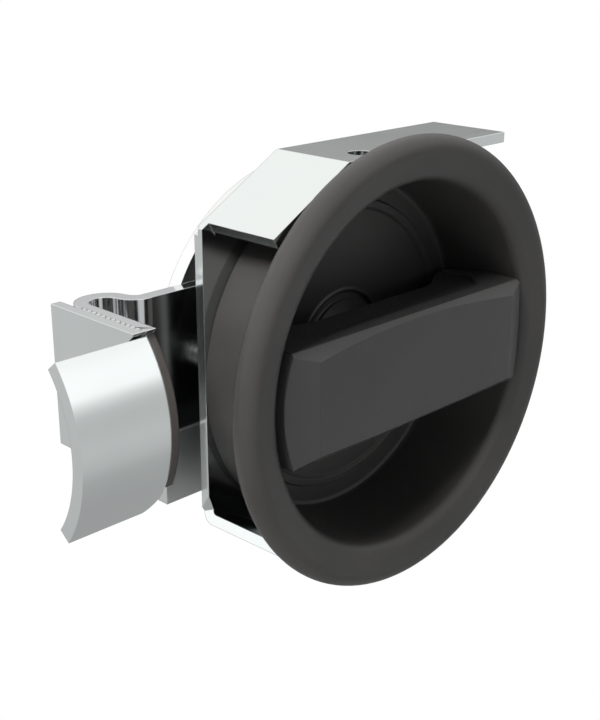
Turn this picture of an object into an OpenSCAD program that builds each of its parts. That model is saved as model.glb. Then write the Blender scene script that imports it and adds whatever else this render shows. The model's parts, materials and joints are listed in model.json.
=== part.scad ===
// Flush cam latch with a cup, a T-bar, a back bracket and a bent arm with a jaw.
// Units are millimetres. The origin is on the spindle's axis at the rim's rear face.
// +Y goes into the panel, +X to the user's right, +Z up.

/* [Cup] */
// outer diameter of the rim
rim_d = 130; // [126:1:136]
// width of the rim outside the spigot that sits in the panel's hole
rim_lip = 11; // [10.8:0.1:11.6]
// depth of the recess from the rim's rear face to the floor
recess_depth = 22.3; // [22:0.1:23]
// thickness of the cup's floor
floor_t = 3; // [2.6:0.1:3.4]
// height of the ring on the floor
ring_h = 0.8; // [0.4:0.1:1.2]

/* [Handle] */
// width of the T-bar
handle_w = 32.6; // [31:0.2:34]
// clearance between the T-bar's end faces and the cup's wall
handle_gap = 1.8; // [1.4:0.1:3]
// depth of the dished front face
dish_depth = 2.3; // [1.2:0.05:2.6]
// depth of the finger hollows
hollow_depth = 0.9; // [0.6:0.1:1.8]
// diameter of the shank
shank_d = 24; // [23:0.5:26]

/* [Spindle] */
// diameter of the round part in the bush
spindle_d = 16; // [15.6:0.1:16.4]
// side of the square in the handle
handle_square = 10; // [9:0.5:10.5]
// side of the square in the arm and the disc
arm_square = 11; // [10.6:0.1:11]
// diameter of the thread at the rear end
thread_d = 12; // [11:0.5:12]
// diameter of the cross pin
pin_d = 4; // [3:0.5:4.5]

/* [Bracket] */
// thickness of the bracket's sheet
sheet_t = 3; // [2.5:0.1:3.2]
// distance from the rim's outer edge in to each flange
flange_inset = 5; // [4:0.1:6]
// distance from the spigot in to the bracket's right-hand edge
right_inset = 8; // [5:0.5:12]
// diameter of the hole in each flange
flange_hole_d = 7; // [5:0.5:8]
// sheet space between the rim and the bracket's front edges
panel_gap = 1; // [0.8:0.1:2]

/* [Arm] */
// thickness of the arm's sheet
arm_t = 4; // [3.5:0.1:4.4]
// gap between the bracket and the arm
arm_gap = 6.2; // [5.9:0.1:6.6]
// height of the arm's upper edge above the axis
arm_top = 25; // [24:0.2:25.6]
// diameter of the stop stud
stud_d = 8.2; // [7.4:0.2:8.6]
// distance from the rim's outer edge in to the back disc
disc_inset = 11.8; // [10:0.2:15]
// thickness of the back disc
disc_t = 4.5; // [3.5:0.1:5.5]

/* [Jaw] */
// outer radius of the jaw
jaw_r = 37.3; // [37:0.1:38]
// thickness of the jaw's plate
jaw_t = 4; // [3.4:0.1:4.4]
// length of the jaw
jaw_len = 26.3; // [22:0.1:30]
// pitch of the serrations
tooth_pitch = 2; // [1.6:0.2:2.4]
// diameter of the clamp bolt
clamp_d = 8; // [6:0.5:8]

/* [Hidden] */
$fn = 96;

// radial clearance of a running fit and of a free hole
fit = 0.05;
free = 0.3;

// cup
bead_r = 4;
bead_c = [rim_d / 2 - bead_r, -3.4];
roll_c = [rim_d / 2 - 8.7, -2.3];
rear_r = bead_c[0] + sqrt(bead_r * bead_r - bead_c[1] * bead_c[1]);
roll_v = bead_c - roll_c;
roll_n = [roll_v[1], -roll_v[0]] / norm(roll_v);
spigot_r = rim_d / 2 - rim_lip;
wall_r = roll_c[0] - bead_r;
bottom_y = recess_depth + floor_t;
foot_in = wall_r - 2.5;
foot_out = foot_in + 1.96;
ring_out = foot_in - 5.9;
ring_in = foot_in - 9.3;
handle_end_r = wall_r - handle_gap;
hub_r = 16;
hub_front = recess_depth - 0.4;
seal_y = hub_front + 3.3;
front_y = -9.4;
gasket_in = spigot_r + 1.8;
gasket_out = rear_r - 2.3;

// bracket and what follows it along the axis
plate_rear = bottom_y + sheet_t;
bend_in = 1.65;
bend_top = 1;
bend_low = bend_in + sheet_t;
top_h = rim_d / 2 - flange_inset;
low_h = top_h - 0.8;
corner_x = 39.1 - top_h;
left_x = 3.8 - spigot_r;
bracket_right = spigot_r - right_inset;
slope = 30;
slope_top = top_h * cos(slope) - corner_x * sin(slope);
slope_low = slope_top - 1.1;
end_t = -19.2;
end_lean = 4.4 / (plate_rear - panel_gap);
disc_r = rim_d / 2 - disc_inset;
nut_t = 4;
tab_t = 0.8;
hub_rear = plate_rear + tab_t + nut_t;
bush_r = spindle_d / 2 + 2;
bush_rear = hub_rear - 1.65;
strap_y = plate_rear + arm_gap;
strap_rear = strap_y + arm_t;
disc_rear = strap_rear + disc_t;
washer_t = 2;
spring_t = 2.1;
end_nut_t = 10;
end_nut_y = disc_rear + washer_t + spring_t;

// arm, in the plane seen from above
arm_low = -15.6;
bend1 = [left_x - 9.8, strap_rear + 3.2];
bend2 = [bend1[0] - 11.2, strap_rear + 1.6];
bend2_in = 4;
leg_in = bend2[0] - bend2_in;
leg_out = leg_in - arm_t;
tooth_h = tooth_pitch / 2;
tooth_root = leg_out + tooth_h;
mesh_gap = 0.06;
stud_p = [left_x + 7.2, 5.06];
stud_r = norm(stud_p);
stud_a = atan2(stud_p[1], stud_p[0]);

// jaw
jaw_y = strap_rear + 5.1;
jaw_in = jaw_r - jaw_t;
jaw_x1 = leg_out + 1.5;
jaw_x0 = jaw_x1 - jaw_len;
clamp_y = 26.6;
clamp_z = 5;
plate_x1 = leg_out;
plate_x0 = leg_out - 3;
clamp_washer_t = 1.6;
clamp_head_t = 5.3;
clamp_nut_t = 6.5;

// turned shape about the Y axis, drawn as radius and Y
module turned() {
  rotate([-90, 0, 0]) rotate_extrude() children();
}

// flat shape in X and Z, from y0 to y1
module flat_xz(y0, y1) {
  translate([0, y1, 0]) rotate([90, 0, 0]) linear_extrude(height = y1 - y0) children();
}

// flat shape in Y and Z, from x0 to x1
module flat_yz(x0, x1) {
  translate([x0, 0, 0]) rotate([90, 0, 90]) linear_extrude(height = x1 - x0) children();
}

// flat shape in X and Y, from z0 to z1
module flat_xy(z0, z1) {
  translate([0, 0, z0]) linear_extrude(height = z1 - z0) children();
}

// round bar along Y
module bar_y(r, y0, y1) {
  translate([0, y0, 0]) rotate([-90, 0, 0]) cylinder(h = y1 - y0, r = r);
}

// round bar along X at y, z
module bar_x(r, x0, x1, y, z) {
  translate([x0, y, z]) rotate([0, 90, 0]) cylinder(h = x1 - x0, r = r);
}

// square bar along Y
module square_y(side, y0, y1) {
  translate([-side / 2, y0, -side / 2]) cube([side, y1 - y0, side]);
}

// ring about the Y axis
module ring_y(r_in, r_out, y0, y1) {
  turned() translate([r_in, y0]) square([r_out - r_in, y1 - y0]);
}

// hexagon bar along Y with a round bore
module hex_y(across, bore_r, y0, y1) {
  flat_xz(y0, y1) difference() {
    circle(r = across / sqrt(3), $fn = 6);
    circle(r = bore_r);
  }
}

module cup_profile() {
  intersection() {
    union() {
      translate(bead_c) circle(r = bead_r);
      translate(roll_c) circle(r = bead_r);
      polygon([roll_c + bead_r * roll_n, bead_c + bead_r * roll_n, bead_c, [rear_r, 0], [spigot_r, 0.01],
        [wall_r, roll_c[1]], roll_c]);
    }
    translate([wall_r - 1, -20]) square([40, 20]);
  }
  polygon([[wall_r, roll_c[1]], [spigot_r, roll_c[1]], [spigot_r, 2.2], [foot_out, bottom_y - 2],
    [foot_out - 2, bottom_y], [bush_r, bottom_y], [bush_r, hub_front], [14.4, hub_front],
    [15, hub_front + 0.6], [15.1, recess_depth + 0.6], [16.1, recess_depth + 0.6],
    [16.5, recess_depth - 0.3], [17, recess_depth - 0.4], [17.6, recess_depth], [ring_in, recess_depth],
    [ring_in + 0.9, recess_depth - ring_h], [ring_out - 0.4, recess_depth - ring_h],
    [ring_out, recess_depth], [foot_in - 1.4, recess_depth], [foot_in - 0.4, recess_depth - 0.4],
    [foot_in, recess_depth - 1.4]]);
  translate([bush_r, bottom_y - 0.01]) square([hub_r - bush_r, hub_rear - bottom_y + 0.01]);
}

module cup() {
  color("#2c2c2d") {
    difference() {
      turned() cup_profile();
      ring_y(gasket_in, gasket_out, -2, 1);
      bar_y(bush_r + 1.5, bush_rear, hub_rear + 1);
    }
    for (a = [0, 180]) rotate([0, a, 0]) translate([30, 0, 0]) bar_y(2.5, bottom_y - 0.5, plate_rear - 0.5);
  }
}

module rim_gasket() {
  color("#1c1c1c") ring_y(gasket_in + fit, gasket_out - fit, -1.95, -0.02);
}

// right half of an outline, joined to its mirror image on the left
module both_halves(right) {
  polygon(concat(right, [for (i = [len(right) - 1:-1:0]) [-right[i][0], right[i][1]]]));
}

module handle_outline() {
  e = handle_end_r;
  both_halves([[e - 10.5, front_y + 0.075], [e + 0.5, front_y + 4.2], [e + 0.5, 2.1], [e - 2.1, 5],
    [e - 5.1, 10.3], [e - 7.9, 15.1],
    [e - 9.7, 16.9], [e - 11.9, 17.6], [e - 14.3, 17], [e - 20, 13.3], [e - 23, 11.6], [e - 26.5, 10.7]]);
}

module hollow_outline() {
  e = handle_end_r;
  both_halves([[e - 18.5, -0.9], [e - 16.5, -0.4], [e - 14.9, 0.7], [e - 13.3, 2.4], [e - 11.7, 4.6],
    [e - 10.3, 7.6],
    [e - 9.9, 11], [e - 11.5, 26]]);
}

module handle() {
  hw = handle_w / 2;
  ridge = handle_end_r - 9.5;
  dish_r = (ridge * ridge + dish_depth * dish_depth) / (2 * dish_depth);
  color("#333334") difference() {
    union() {
      intersection() {
        flat_xy(-hw, hw) handle_outline();
        bar_y(handle_end_r, -20, 40);
        flat_yz(-80, 80) polygon([[front_y + 4, hw], [front_y, hw - 3.55], [front_y, 3.55 - hw],
          [front_y + 4, -hw],
          [30, -hw], [30, hw]]);
      }
      bar_y(shank_d / 2, 8, hub_front - 1.1);
      turned() polygon([[shank_d / 2 - 3, 17.6], [shank_d / 2 - 0.2, 17.6], [hub_r - 1.4, hub_front - 0.9],
        [hub_r - 1.4, hub_front - 0.35], [bush_r + 2, hub_front - 0.35], [bush_r + 2, hub_front - 1.1],
        [shank_d / 2 - 3, hub_front - 1.1]]);
    }
    translate([0, front_y + 0.45 + dish_depth - dish_r, -30]) cylinder(h = 60, r = dish_r, $fn = 180);
    for (s = [-1, 1]) translate([0, 0, s * (hw + 3 - hollow_depth)]) flat_xy(-3, 3) hollow_outline();
    square_y(handle_square + 2 * fit, 0.9, hub_front);
    bar_x(pin_d / 2 + fit, -20, 20, 13.4, 0);
  }
}

module cross_pin() {
  color("#b8bbbc") bar_x(pin_d / 2, 0.3 - shank_d / 2, shank_d / 2 - 0.3, 13.4, 0);
}

module spindle() {
  rs = spindle_d / 2;
  color("#b4b8b9") difference() {
    union() {
      square_y(handle_square, 1, hub_front - 1);
      bar_y(rs, hub_front - 1.05, strap_y);
      square_y(arm_square, strap_y - 0.01, disc_rear);
      bar_y(thread_d / 2, disc_rear, end_nut_y + end_nut_t + 0.8);
      translate([0, end_nut_y + end_nut_t + 0.79, 0]) rotate([-90, 0, 0])
        cylinder(h = 1, r1 = thread_d / 2, r2 = thread_d / 2 - 1);
    }
    bar_x(pin_d / 2 + fit, -20, 20, 13.4, 0);
    ring_y(rs - 1.85, rs + 1, seal_y - 1.1, seal_y + 1.1);
    ring_y(rs - 0.8, rs + 1, hub_rear - 1.35, hub_rear - 0.1);
  }
}

module bush() {
  rs = spindle_d / 2 + fit;
  color("#b08a4a") turned() polygon([[rs, hub_front - 1], [bush_r + 1.6, hub_front - 1],
    [bush_r + 1.6, hub_front],
    [bush_r, hub_front], [bush_r, bush_rear], [rs, bush_rear]]);
}

module o_ring() {
  color("#191919") turned() translate([spindle_d / 2 - 0.9, seal_y]) circle(r = 0.88);
}

module retaining_ring() {
  rs = spindle_d / 2;
  color("#8d9192") difference() {
    ring_y(rs - 0.75, bush_r + 1, hub_rear - 1.3, hub_rear - 0.15);
    translate([-1.5, hub_rear - 3, 0]) cube([3, 5, 20]);
  }
}

// side view of the space inside a fold: y from y0 to y1, up to height h, with a round rear corner
module fold_region(y0, y1, h, r) {
  difference() {
    translate([y0, -100]) square([y1 - y0, 100 + h]);
    difference() {
      translate([y1 - r, h - r]) square([r + 1, r + 1]);
      translate([y1 - r, h - r]) circle(r = r + 0.02);
    }
  }
}

// space within both flanges and both sloped panels, at a depth t inside their outer faces
module fold_space(x0, x1, y0, y1, t, r_top, r_low) {
  intersection() {
    flat_yz(x0, x1) fold_region(y0, y1, top_h - t, r_top);
    rotate([0, -slope, 0]) flat_yz(-150, 150) fold_region(y0, y1, slope_top - t, r_top);
    mirror([0, 0, 1]) flat_yz(x0, x1) fold_region(y0, y1, low_h - t, r_low);
    mirror([0, 0, 1]) rotate([0, -slope, 0]) flat_yz(-150, 150) fold_region(y0, y1, slope_low - t, r_low);
  }
}

// space beyond the upper sloped panel's end, with a notch in the rear plate's corner
module top_end() {
  rotate([0, -slope, 0]) flat_xy(slope_top - 6, slope_top + 14)
    translate([-60, -10]) square([60 + end_t, 10 + bottom_y]);
  z = top_h - 17.8;
  flat_xz(bottom_y + 1.5, plate_rear + 1)
    polygon([[left_x - 1, z - 1.2], [left_x + 2.5, z], [left_x + 0.6, z + 1.2], [left_x - 1, z + 2.2]]);
}

// space beyond the lower sloped panel's leaning end, with a slanted corner on the rear plate
module low_end() {
  intersection() {
    mirror([0, 0, 1]) rotate([0, -slope, 0]) flat_xy(-100, 100)
      polygon([[-80, -10], [end_t + 11 * end_lean, -10], [end_t - 49 * end_lean, 50], [-80, 50]]);
    union() {
      translate([left_x - 20, -10, -100]) cube([20, 60, 200]);
      translate([left_x + 1.5, bottom_y, -37.4]) rotate([0, 107.8, 208.5])
        translate([-20, -20, 0]) cube([40, 40, 30]);
      mirror([0, 0, 1]) rotate([0, -slope, 0]) flat_xy(slope_low - 6, slope_low + 14)
        translate([-80, -10]) square([80, 10 + bottom_y - bend_in]);
    }
  }
}

module stud_slot() {
  r0 = stud_d / 2 + free + 0.05;
  difference() {
    rotate(stud_a) circle(r = stud_r + r0, $fn = 180);
    rotate(stud_a) circle(r = stud_r - r0, $fn = 180);
    rotate(stud_a) translate([-60, 0]) square([200, 90]);
    rotate(stud_a - 90) translate([-60, -80]) square([200, 80]);
  }
  for (a = [stud_a, stud_a - 90]) rotate(a) translate([stud_r, 0]) circle(r = r0);
}

module bracket() {
  color("#c4c7c6") difference() {
    fold_space(left_x - 3, bracket_right, panel_gap, plate_rear, 0, bend_top, bend_low);
    fold_space(-120, 120, -20, bottom_y, sheet_t, bend_in, bend_in);
    top_end();
    low_end();
    bar_y(hub_r + free, 20, 40);
    for (s = [-1, 1]) translate([s * 30, 0, 0]) bar_y(2.5 + free, 20, 40);
    flat_xz(20, 40) stud_slot();
    translate([-9, panel_gap + 6.85, -100]) cylinder(h = 200, r = flange_hole_d / 2);
  }
}

module tab_washer() {
  color("#a9adae") flat_xz(plate_rear, plate_rear + tab_t) difference() {
    union() {
      circle(r = 24);
      translate([0, -3]) square([27.5, 6]);
    }
    circle(r = hub_r + free);
  }
}

module hub_nut() {
  color("#b6babb") hex_y(2 * hub_r + 9, hub_r + fit, plate_rear + tab_t, hub_rear);
}

module thrust_washer() {
  color("#3a3a3a") ring_y(spindle_d / 2 + free, 15, hub_rear + 0.1, strap_y - 0.1);
}

module strap_outline() {
  difference() {
    union() {
      circle(r = arm_top);
      polygon([[bend1[0], arm_top], [bend1[0], arm_low], [bend1[0] + 2.3, arm_low],
        [bend1[0] + 2.3, -36.4], [-36, -36.4],
        [arm_top * 0.277, -arm_top * 0.96], [0, 0], [0, arm_top]]);
    }
    square([arm_square + 2 * fit, arm_square + 2 * fit], center = true);
    for (a = [90, 210, 330]) rotate(a) translate([19.5, 0]) circle(r = 2.5 + fit);
    translate(stud_p) circle(r = 3 + fit);
  }
}

module arm_bends() {
  a = 188.1;
  w = arm_t;
  difference() {
    translate(bend1) circle(r = 3.2 + w);
    translate(bend1) circle(r = 3.2);
    translate(bend1) polygon([[0, 0], 20 * [cos(a), sin(a)], [-20, 20], [20, 20], [20, -20], [0, -20]]);
  }
  difference() {
    translate(bend2) circle(r = bend2_in + w);
    translate(bend2) circle(r = bend2_in);
    translate(bend2) polygon([[0, 0], 20 * [cos(a - 180), sin(a - 180)], [20, -20], [-20, -20], [-20, 0]]);
  }
}

// row of V teeth that point to -X, over root x, from y0 to y1
module teeth(x, y0, y1) {
  n = floor((y1 - y0) / tooth_pitch);
  points = [for (i = [0:n - 1]) each [[x, y1 - i * tooth_pitch],
    [x - tooth_h, y1 - (i + 0.5) * tooth_pitch]]];
  polygon(concat([[x + 0.5, y1]], points, [[x, y1 - n * tooth_pitch], [x + 0.5, y1 - n * tooth_pitch]]));
}

// side view of the meshed tips over the jaw's upper end
module tip_outline() {
  translate([jaw_y, 0])
    polygon([[-25.4, 20.9], [-28.4, 23.2], [-29.6, 24.4], [-30, 26], [-10, 26], [-10, 10]]);
}

module arm() {
  color("#9fa3a4") {
    difference() {
      union() {
        flat_xz(strap_y, strap_rear) strap_outline();
        flat_xy(arm_low, arm_top) arm_bends();
        intersection() {
          flat_xy(arm_low, arm_top) union() {
            translate([tooth_root, 0]) square([leg_in - tooth_root, bend2[1] + 0.01]);
            teeth(tooth_root, 6, bend2[1]);
          }
          union() {
            bar_x(jaw_in - 0.1, leg_out - 1, leg_in + 1, jaw_y, 0);
            flat_yz(leg_out - 1, leg_in + 1) tip_outline();
          }
        }
        intersection() {
          flat_xy(arm_low, arm_top) translate([jaw_x1 + 0.1, 0]) square([leg_in - jaw_x1 - 0.1, bend2[1]]);
          bar_x(jaw_r, leg_out - 1, leg_in + 1, jaw_y, 0);
        }
      }
      bar_x(clamp_d / 2 + free, -95, leg_in + 1, clamp_y, clamp_z);
    }
  }
}

module stop_stud() {
  color("#b9bcbd") translate([stud_p[0], 0, stud_p[1]]) {
    bar_y(stud_d / 2, bottom_y + 0.4, strap_y);
    bar_y(3, strap_y - 0.01, strap_rear);
  }
}

module back_disc() {
  color("#26282a") flat_xz(strap_rear, disc_rear) difference() {
    circle(r = disc_r, $fn = 180);
    square([arm_square + 2 * fit, arm_square + 2 * fit], center = true);
    for (a = [90, 210, 330]) rotate(a) translate([19.5, 0]) circle(r = 2.5 + fit);
  }
}

module disc_rivets() {
  color("#b9bcbd") for (a = [90, 210, 330]) rotate([0, -a, 0]) translate([19.5, 0, 0]) {
    bar_y(2.5, strap_y, disc_rear + 0.4);
    translate([0, disc_rear, 0]) turned() intersection() {
      translate([0, -3.3]) circle(r = 5.3);
      square([10, 10]);
    }
  }
}

module serrated_outline() {
  difference() {
    intersection() {
      translate([5, -14.2]) square([strap_rear + 9.8 - 5, arm_top + 14.2]);
      union() {
        translate([jaw_y, 0]) circle(r = jaw_in - 0.05, $fn = 180);
        tip_outline();
      }
    }
    for (y = [clamp_y - 5, clamp_y + 5]) translate([y, clamp_z]) circle(r = clamp_d / 2 + free);
    translate([clamp_y - 5, clamp_z - clamp_d / 2 - free]) square([10, clamp_d + 2 * free]);
  }
}

module serrated_plate() {
  color("#c9cccb") intersection() {
    flat_yz(plate_x0, plate_x1 + tooth_h) serrated_outline();
    flat_xy(-30, 30) difference() {
      translate([plate_x0, 0]) square([plate_x1 + tooth_h - mesh_gap - plate_x0, 60]);
      translate([-mesh_gap, 0]) teeth(tooth_root, 6, bend2[1]);
      translate([tooth_root - mesh_gap, 0]) square([3, 60]);
      translate([plate_x1 - mesh_gap, bend2[1] - 0.01]) square([3, 60]);
    }
  }
}

module jaw() {
  corner = 8;
  color("#c9cccb") intersection() {
    flat_yz(jaw_x0, jaw_x1) difference() {
      translate([jaw_y, 0]) circle(r = jaw_r, $fn = 180);
      translate([jaw_y, 0]) circle(r = jaw_in, $fn = 180);
      translate([jaw_y, 0]) polygon([[0, 0], 60 * [cos(141.3), sin(141.3)], [0, 60], [60, 60], [60, -60],
        [0, -60],
        60 * [cos(217.9), sin(217.9)]]);
    }
    flat_xz(0, 40) union() {
      translate([jaw_x0 - 1, -30]) square([jaw_len - corner + 1, 60]);
      translate([jaw_x0 - 1, corner - 24]) square([jaw_len + 1, 60]);
      translate([jaw_x1 - corner, corner - 24]) circle(r = corner);
    }
  }
}

module clamp_bolt() {
  x1 = plate_x0 - clamp_washer_t;
  color("#b9bcbd") {
    bar_x(clamp_d / 2, x1 - 0.01, leg_in + clamp_nut_t + 0.9, clamp_y, clamp_z);
    translate([0, clamp_y, clamp_z]) flat_yz(x1 - clamp_head_t, x1) circle(r = 13 / sqrt(3), $fn = 6);
  }
}

module clamp_washer() {
  x0 = plate_x0 - clamp_washer_t;
  color("#b0b4b5") translate([0, clamp_y, clamp_z]) flat_yz(x0, plate_x0) difference() {
    circle(r = 8);
    circle(r = clamp_d / 2 + free);
  }
}

module clamp_nut() {
  color("#b9bcbd") translate([0, clamp_y, clamp_z]) flat_yz(leg_in, leg_in + clamp_nut_t) difference() {
    circle(r = 13 / sqrt(3), $fn = 6);
    circle(r = clamp_d / 2 + fit);
  }
}

module spindle_washer() {
  color("#b4b8b9") ring_y(thread_d / 2 + free, 14, disc_rear, disc_rear + washer_t);
}

module spring_washer() {
  color("#8d9192") difference() {
    ring_y(thread_d / 2 + free, 10, disc_rear + washer_t, end_nut_y);
    translate([-0.6, disc_rear, 0]) cube([1.2, 8, 20]);
  }
}

module spindle_nut() {
  color("#b9bcbd") hex_y(18, thread_d / 2 + fit, end_nut_y, end_nut_y + end_nut_t);
}

cup();
rim_gasket();
handle();
cross_pin();
spindle();
bush();
o_ring();
retaining_ring();
bracket();
tab_washer();
hub_nut();
thrust_washer();
arm();
stop_stud();
back_disc();
disc_rivets();
serrated_plate();
jaw();
clamp_bolt();
clamp_washer();
clamp_nut();
spindle_washer();
spring_washer();
spindle_nut();
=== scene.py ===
import json
import math
import bpy
from mathutils import Matrix, Vector


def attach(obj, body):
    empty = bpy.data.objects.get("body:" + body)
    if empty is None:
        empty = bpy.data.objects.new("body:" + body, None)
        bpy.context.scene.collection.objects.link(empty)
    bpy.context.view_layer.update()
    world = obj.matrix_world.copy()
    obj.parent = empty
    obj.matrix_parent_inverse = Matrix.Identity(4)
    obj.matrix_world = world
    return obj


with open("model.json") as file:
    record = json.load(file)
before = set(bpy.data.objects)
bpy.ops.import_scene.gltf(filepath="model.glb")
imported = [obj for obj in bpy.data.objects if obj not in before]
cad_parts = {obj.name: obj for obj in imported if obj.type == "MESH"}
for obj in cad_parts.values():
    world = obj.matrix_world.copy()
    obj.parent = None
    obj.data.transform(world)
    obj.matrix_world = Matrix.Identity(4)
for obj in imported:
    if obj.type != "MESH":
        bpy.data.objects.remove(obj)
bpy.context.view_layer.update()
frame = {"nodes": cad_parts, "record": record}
nodes = frame["nodes"]
scene = bpy.context.scene


def node_box(name):
    points = [v.co for v in nodes[name].data.vertices]
    return [Vector([pick(p[axis] for p in points) for axis in range(3)]) for pick in (min, max)]


# lengths in metres, those of part.scad where the frame doesn't give them
arm_low, arm_high = node_box("arm")
jaw_low = node_box("jaw")[0]
jaw_r = 0.0373
jaw_y = jaw_low.y + jaw_r
arm_t = 0.004
leg_out = arm_low.x
leg_in = leg_out + arm_t
strap_left = -0.0605
tooth_h = 0.001
teeth_front = 0.0141
teeth_rear = 0.0401

# most of a noise lies between these two values, and its tones blend between the next two
noise_low, noise_high = 0.3, 0.7
tone_low, tone_high = 0.35, 0.65
plastic_clouds, metal_clouds, metal_lines = 35, 18, 60
plastic_gloss = 0.38
plastic_edge = 0.0005
plastic_bump, metal_bump = 0.35, 0.1
fine_wave = 0.00002


# adds shader nodes to a material's or the world's node tree
class Graph:
    def __init__(self, owner):
        owner.use_nodes = True
        self.nodes = owner.node_tree.nodes
        self.links = owner.node_tree.links

    # an input's value is a number, a colour, or a socket to link it to
    def put(self, node, inputs):
        for key, value in inputs.items():
            if isinstance(value, bpy.types.NodeSocket):
                self.links.new(value, node.inputs[key])
            else:
                node.inputs[key].default_value = value

    def add(self, kind, inputs, **settings):
        node = self.nodes.new(kind)
        for name, value in settings.items():
            setattr(node, name, value)
        self.put(node, inputs)
        return node

    def place(self, output):
        return self.add("ShaderNodeTexCoord", {}).outputs[output]

    def parts(self, vector):
        return self.add("ShaderNodeSeparateXYZ", {"Vector": vector}).outputs

    def noise(self, scale, detail, stretch=None):
        at = self.place("Object")
        if stretch:
            at = self.add("ShaderNodeMapping", {"Scale": stretch, "Vector": at}).outputs["Vector"]
        return self.add("ShaderNodeTexNoise", {"Scale": scale, "Detail": detail, "Vector": at}).outputs["Fac"]

    def remap(self, value, start, end, low=0.0, high=1.0):
        inputs = {"Value": value, "From Min": start, "From Max": end, "To Min": low, "To Max": high}
        return self.add("ShaderNodeMapRange", inputs).outputs["Result"]

    # stops are pairs of a place from 0 to 1 and a colour or a grey
    def ramp(self, value, stops):
        node = self.add("ShaderNodeValToRGB", {"Fac": value})
        points = node.color_ramp.elements
        while len(points) < len(stops):
            points.new(0.5)
        for k, (place, colour) in enumerate(stops):
            points[k].position = place
            points[k].color = (*(colour if isinstance(colour, tuple) else (colour,) * 3), 1)
        return node.outputs["Color"]

    # the same with places in the value's own units
    def ramp_between(self, value, start, end, stops):
        shares = [((place - start) / (end - start), colour) for place, colour in stops]
        return self.ramp(self.remap(value, start, end), shares)

    def two_tone(self, scale, dark, light):
        return self.ramp(self.noise(scale, 3), [(tone_low, dark), (tone_high, light)])

    def maths(self, operation, a, b):
        return self.add("ShaderNodeMath", {0: a, 1: b}, operation=operation).outputs[0]

    def mix_shader(self, share, first, second):
        return self.add("ShaderNodeMixShader", {"Fac": share, 1: first, 2: second}).outputs["Shader"]

    # rounds the edges in the shading and lays a fine height over them
    def relief(self, shader, height, strength, depth, edge):
        rounded = self.add("ShaderNodeBevel", {"Radius": edge}, samples=6).outputs["Normal"]
        inputs = {"Strength": strength, "Distance": depth, "Height": height, "Normal": rounded}
        self.put(shader, {"Normal": self.add("ShaderNodeBump", inputs).outputs["Normal"]})


def material(name):
    made = bpy.data.materials.new(name)
    graph = Graph(made)
    return made, graph, graph.nodes["Principled BSDF"]


def plastic(name, dark, light, rough, grain, depth):
    made, graph, shader = material(name)
    fine = graph.noise(grain, 5)
    graph.put(shader, {
        "Base Color": graph.two_tone(plastic_clouds, dark, light),
        "Roughness": graph.remap(fine, noise_low, noise_high, rough - 0.05, rough + 0.07),
        "Specular IOR Level": plastic_gloss,
    })
    graph.relief(shader, fine, plastic_bump, depth, plastic_edge)
    return made


def metal(name, dark, light, rough, wave, stretch, edge):
    made, graph, shader = material(name)
    lines = graph.noise(metal_lines, 4, stretch)
    graph.put(shader, {
        "Metallic": 1.0,
        "Base Color": graph.two_tone(metal_clouds, dark, light),
        "Roughness": graph.remap(lines, noise_low, noise_high, rough * 0.8, rough * 1.25),
    })
    graph.relief(shader, lines, metal_bump, wave, edge)
    return made


# the strap's flat front: a satin face whose colour is painted reflection, darker above and lighter below,
# with a painted highlight line level with the leg's lower edge
def strap_painted_reflection():
    made, graph, shader = material("strap_painted_reflection")
    highlight_line_low, highlight_line_high = -0.01554, -0.01496
    blend = 0.00026
    # painted reflection: grey below the line, a painted white highlight line, then dark above it
    tones = [(arm_low.z, 0.62), (highlight_line_low - blend, 0.46), (highlight_line_low, 1.0), (highlight_line_high, 1.0),
             (highlight_line_high + blend, 0.22)]
    height = graph.parts(graph.place("Object"))["Z"]
    stops = [(z, (tone, tone * 1.01, tone * 1.01)) for z, tone in tones]
    graph.put(shader, {
        "Metallic": 1.0,
        "Base Color": graph.ramp_between(height, arm_low.z, -0.0100, stops),
        "Roughness": graph.remap(height, highlight_line_low, -0.01449, 0.50, 0.24),
    })
    graph.relief(shader, graph.noise(70, 4, (1, 1, 9)), metal_bump, fine_wave, 0.0004)
    return made


# each plastic's darker and lighter tone, roughness, grain scale and grain depth
plastics = {
    "moulded_black": ((0.024, 0.0235, 0.023), (0.029, 0.028, 0.0275), 0.42, 1400, 0.00003),
    "handle_black": ((0.0265, 0.0265, 0.027), (0.0315, 0.0315, 0.032), 0.40, 1400, 0.00003),
    "gasket_rubber": ((0.014, 0.014, 0.014), (0.020, 0.020, 0.020), 0.70, 900, 0.00004),
    "washer_plastic": ((0.06, 0.06, 0.06), (0.08, 0.08, 0.08), 0.50, 900, 0.00003),
    # a near-black colour for the leg's curved front edge: painted dark reflection
    "edge_painted_reflection": ((0.016, 0.014, 0.013), (0.042, 0.038, 0.036), 0.38, 900, 0.00003),
}
# each metal's darker and lighter tone, roughness, wave depth, brushing direction and edge radius
metals = {
    "polished_steel": ((0.84, 0.88, 0.875), (0.87, 0.91, 0.905), 0.14, fine_wave, (1, 12, 1), 0.0003),
    "arm_steel": ((0.82, 0.84, 0.85), (0.86, 0.88, 0.89), 0.11, fine_wave, (1, 12, 1), 0.0004),
    "disc_steel": ((0.90, 0.91, 0.90), (0.94, 0.95, 0.94), 0.14, fine_wave, (1, 1, 12), 0.0003),
    "fastener_steel": ((0.70, 0.71, 0.72), (0.76, 0.77, 0.78), 0.26, 0.00004, (1, 14, 1), 0.0003),
    "bronze_bush": ((0.50, 0.34, 0.16), (0.58, 0.40, 0.20), 0.30, 0.00004, (12, 1, 1), 0.0003),
}
looks = {name: plastic(name, *values) for name, values in plastics.items()}
looks.update({name: metal(name, *values) for name, values in metals.items()})
for part in frame["record"]["subparts"]:
    slots = nodes[part["node"]].data.materials
    slots.clear()
    slots.append(looks[part["material_slot"]])
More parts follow.
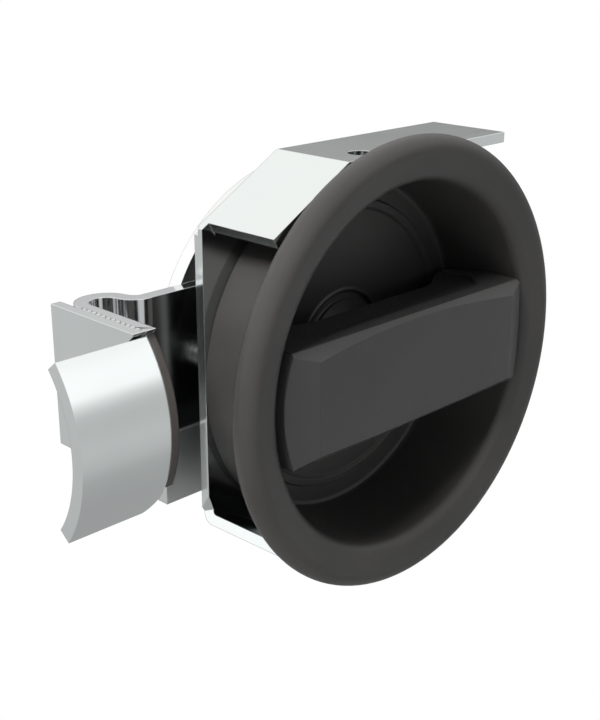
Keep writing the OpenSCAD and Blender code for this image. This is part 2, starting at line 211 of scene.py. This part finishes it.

# the leg's curved front edge gets a band of painted dark reflection, and the strap's front gets its painted
# reflection face
band_inside, band_outside = jaw_r - 0.0007, jaw_r + 0.0003
band_left, band_right = leg_out + 0.0014, leg_in + 0.0001
arm = nodes["arm"].data
arm.materials.append(looks["edge_painted_reflection"])
arm.materials.append(strap_painted_reflection())
for face in arm.polygons:
    middle, normal = face.center, face.normal
    reach = math.hypot(middle.y - jaw_y, middle.z)
    in_band = band_left < middle.x < band_right and band_inside < reach < band_outside
    if in_band and middle.y < jaw_y and abs(normal.x) < 0.5:
        face.material_index = 1
    elif normal.y < -0.99 and middle.x > strap_left:
        face.material_index = 2


# the meshed teeth leave a fine raised burr over the arm's upper edge
def burr():
    rise, wide, sunk = 0.00012, 0.00055, 0.00002
    top = arm_high.z
    count = int((teeth_rear - teeth_front) / tooth_h)
    verts, faces = [], []
    for k in range(count + 1):
        x = leg_out if k % 2 else leg_out + tooth_h
        y = teeth_rear - k * tooth_h
        verts += [(x, y, top - sunk), (x, y - wide, top - sunk), (x, y, top + rise)]
    for a in range(0, 3 * count, 3):
        b = a + 3
        faces += [(a, b, b + 1, a + 1), (a + 1, b + 1, b + 2, a + 2), (a + 2, b + 2, b, a)]
    last = 3 * count
    faces += [(0, 1, 2), (last + 2, last + 1, last)]
    mesh = bpy.data.meshes.new("serration_burr")
    mesh.from_pydata(verts, [], faces)
    mesh.update()
    mesh.materials.append(looks["polished_steel"])
    piece = bpy.data.objects.new("serration_burr", mesh)
    scene.collection.objects.link(piece)
    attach(piece, "turning")


burr()


# what polished metal mirrors: a pale studio, white above, with a dim part straight behind the object
def mirrored(graph):
    toward = graph.parts(graph.place("Generated"))
    sky = graph.ramp_between(toward["Z"], -1.0, 1.0, [
        (-0.80, 0.335), (-0.62, 0.37), (-0.47, 0.46), (-0.30, 0.50), (-0.02, 0.465), (0.12, 0.50),
        (0.22, 0.68), (0.31, 1.0), (0.55, 1.0), (0.75, (0.895, 0.885, 0.862))])
    dim = graph.ramp_between(toward["Z"], -1.0, 1.0, [
        (-0.80, 0.335), (-0.30, 0.34), (0.0, 0.20), (0.14, 0.24), (0.30, 0.55), (0.5, 0.84), (0.75, 0.88)])
    behind = graph.maths("MULTIPLY", graph.maths("ADD", toward["X"], toward["Y"]), math.sqrt(0.5))
    share = graph.ramp_between(behind, 0.55, 0.85, [(0.58, 0.0), (0.82, 1.0)])
    mix = graph.add("ShaderNodeMix", {}, data_type="RGBA")
    graph.put(mix, {"Factor": share, "A": sky, "B": dim})
    return mix.outputs["Result"]


# metal sees the mirrored studio, the camera sees white, and the rest gets a soft even light
def studio():
    soft_light, mirror_light = 0.33, 1.1
    world = bpy.data.worlds.new("studio")
    scene.world = world
    graph = Graph(world)
    graph.nodes.clear()

    def backdrop(strength, colour=(1, 1, 1, 1)):
        inputs = {"Color": colour, "Strength": strength}
        return graph.add("ShaderNodeBackground", inputs).outputs["Background"]

    ray = graph.add("ShaderNodeLightPath", {}).outputs
    mirror = backdrop(mirror_light, mirrored(graph))
    lit = graph.mix_shader(ray["Is Glossy Ray"], backdrop(soft_light), mirror)
    seen = graph.mix_shader(ray["Is Camera Ray"], lit, backdrop(1.0))
    graph.add("ShaderNodeOutputWorld", {"Surface": seen})


# a lamp aimed at the origin, which metal doesn't mirror
def area(name, place, size, watts, colour=(1, 1, 1)):
    data = bpy.data.lights.new(name, "AREA")
    data.shape = "RECTANGLE"
    data.size, data.size_y = size
    data.energy = watts
    data.color = colour
    lamp = bpy.data.objects.new(name, data)
    lamp.location = place
    lamp.rotation_mode = "QUATERNION"
    lamp.rotation_quaternion = (-Vector(place)).to_track_quat("-Z", "Y")
    lamp.visible_glossy = False
    scene.collection.objects.link(lamp)


# a pale floor that the camera sees as plain white
def floor_plane():
    half, height = 3, -0.13
    made, graph, shader = material("floor_white")
    graph.put(shader, {"Base Color": (0.86, 0.86, 0.86, 1), "Roughness": 0.9, "Specular IOR Level": 0.1})
    ray = graph.add("ShaderNodeLightPath", {}).outputs
    glow = graph.add("ShaderNodeEmission", {"Strength": 1.0}).outputs["Emission"]
    seen = graph.mix_shader(ray["Is Camera Ray"], shader.outputs["BSDF"], glow)
    graph.put(graph.nodes["Material Output"], {"Surface": seen})
    mesh = bpy.data.meshes.new("floor")
    corners = [(-half, -half, height), (half, -half, height), (half, half, height), (-half, half, height)]
    mesh.from_pydata(corners, [], [(0, 1, 2, 3)])
    mesh.materials.append(made)
    floor = bpy.data.objects.new("floor", mesh)
    floor.visible_glossy = False
    scene.collection.objects.link(floor)


# the photograph's camera: heading from +X to +Y, tilt above the horizon, and roll about its own axis
def camera():
    place = (-0.246306, -0.205973, 0.117825)
    heading, tilt, roll = (math.radians(angle) for angle in (44.8952, -20.0728, 0.1324))
    focal_px, image_height_px = 1201.08, 720
    data = bpy.data.cameras.new("camera")
    data.sensor_width = 36.0
    data.lens = data.sensor_width * focal_px / image_height_px
    data.clip_start = 0.01
    data.clip_end = 10.0
    made = bpy.data.objects.new("camera", data)
    scene.collection.objects.link(made)
    turn = Matrix.Rotation(heading - math.pi / 2, 4, "Z") @ Matrix.Rotation(math.pi / 2 + tilt, 4, "X")
    made.matrix_world = Matrix.Translation(place) @ turn @ Matrix.Rotation(roll, 4, "Z")
    scene.camera = made


studio()
area("top", (0.05, 0.25, 0.75), (0.9, 0.7), 7.5)
area("key", (-0.60, -0.04, 0.72), (0.30, 0.30), 19.0, (1.0, 0.965, 0.93))
area("front", (-0.22, -0.75, -0.12), (0.6, 0.7), 1.8)
area("side", (-0.80, 0.05, 0.10), (0.4, 0.5), 0.2, (1.0, 0.95, 0.90))
floor_plane()
camera()
scene.view_settings.view_transform = "Standard"
